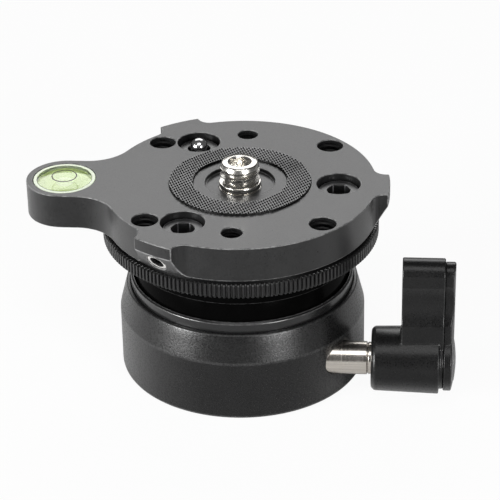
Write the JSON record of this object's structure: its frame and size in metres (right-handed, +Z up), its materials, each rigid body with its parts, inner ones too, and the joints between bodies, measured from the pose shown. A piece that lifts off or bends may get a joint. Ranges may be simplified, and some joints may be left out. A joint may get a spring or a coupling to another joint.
{
  "type": "tripod leveling base",
  "caption": "Tripod leveling base: round housing with a locking half-ball joint, a top plate with stud, grip pad and bull's-eye level on an arm, and a wing knob on a side spindle.",
  "frame": {"origin": "centre of the tripod socket's mouth, in the plane of the housing's underside", "axes": "+Z up along the housing's axis, +X along the lock spindle from the housing to the knob, the arm with the level points to -X"},
  "size_m": [0.104, 0.0668, 0.0537],
  "materials": {
    "black_anodised": "satin",
    "black_knurl": "knurled satin",
    "black_gloss": "polished",
    "bare_aluminium": "machined",
    "steel": "polished",
    "black_steel": "black oxide",
    "chrome": "polished",
    "brass": "machined",
    "nylon": "matte",
    "knob_plastic": "fine grained",
    "cap_plastic": "satin",
    "pad_rubber": "diamond pattern",
    "level_white": "gloss",
    "level_liquid": "clear",
    "level_air": "clear",
    "level_print": "printed",
    "level_window": "clear"
  },
  "bodies": {
    "base": {"base_housing": "black_anodised", "wiper_ring": "black_gloss", "tripod_bush": "steel", "base_screws": "black_steel", "socket_body": "bare_aluminium", "socket_ring": "bare_aluminium", "socket_ring_screws": "steel", "fixed_clamp_plug": "bare_aluminium", "thrust_washer": "steel"},
    "clamp_nut": {"threaded_clamp_plug": "bare_aluminium"},
    "lock": {"lock_spindle": "steel", "knob_insert": "brass", "knob_screw": "steel", "knob_body": "knob_plastic", "knob_cover": "knob_plastic", "knob_cap": "cap_plastic"},
    "liner": {"ball_liner": "nylon"},
    "skirt": {"dust_skirt": "black_gloss"},
    "head": {"half_ball": "black_gloss", "knurled_ring": "black_knurl", "top_plate": "black_anodised", "plate_screws": "black_steel", "hollow_screw": "black_steel", "pin_spring": "steel", "side_set_screws": "steel", "grip_pad": "pad_rubber", "centre_stud": "steel", "level_cup": "level_white", "level_fluid": "level_liquid", "level_bubble": "level_air", "level_ring": "level_print", "level_lens": "level_window"},
    "pin": {"anti_twist_pin": "chrome"}
  },
  "joints": [
    {"name": "knob_turn", "type": "hinge", "parent": "base", "child": "lock", "pos_m": [0, -0.01681, 0.01], "axis": [1, 0, 0], "range_deg": [0, 100]},
    {"name": "clamp_release", "type": "slide", "parent": "base", "child": "clamp_nut", "axis": [-1, 0, 0], "range_m": [0, 0.0003]},
    {"name": "tilt_direction", "type": "hinge", "parent": "base", "child": "liner", "pos_m": [0, 0, 0.022], "axis": [0, 0, 1], "continuous": true},
    {"name": "tilt", "type": "hinge", "parent": "liner", "child": "skirt", "pos_m": [0, 0, 0.022], "axis": [1, 0, 0], "range_deg": [-10, 10]},
    {"name": "spin", "type": "hinge", "parent": "skirt", "child": "head", "pos_m": [0, 0, 0.022], "axis": [0, 0, 1], "continuous": true},
    {"name": "pin_press", "type": "slide", "parent": "head", "child": "pin", "axis": [0, 0, -1], "range_m": [0, 0.001], "stiffness_N_per_m": 500, "springref_m": -0.002, "deforming": ["pin_spring"]}
  ],
  "couplings": [
    {"joint": "clamp_release", "follows": "knob_turn", "m_per_rad": 0.00015915}
  ]
}
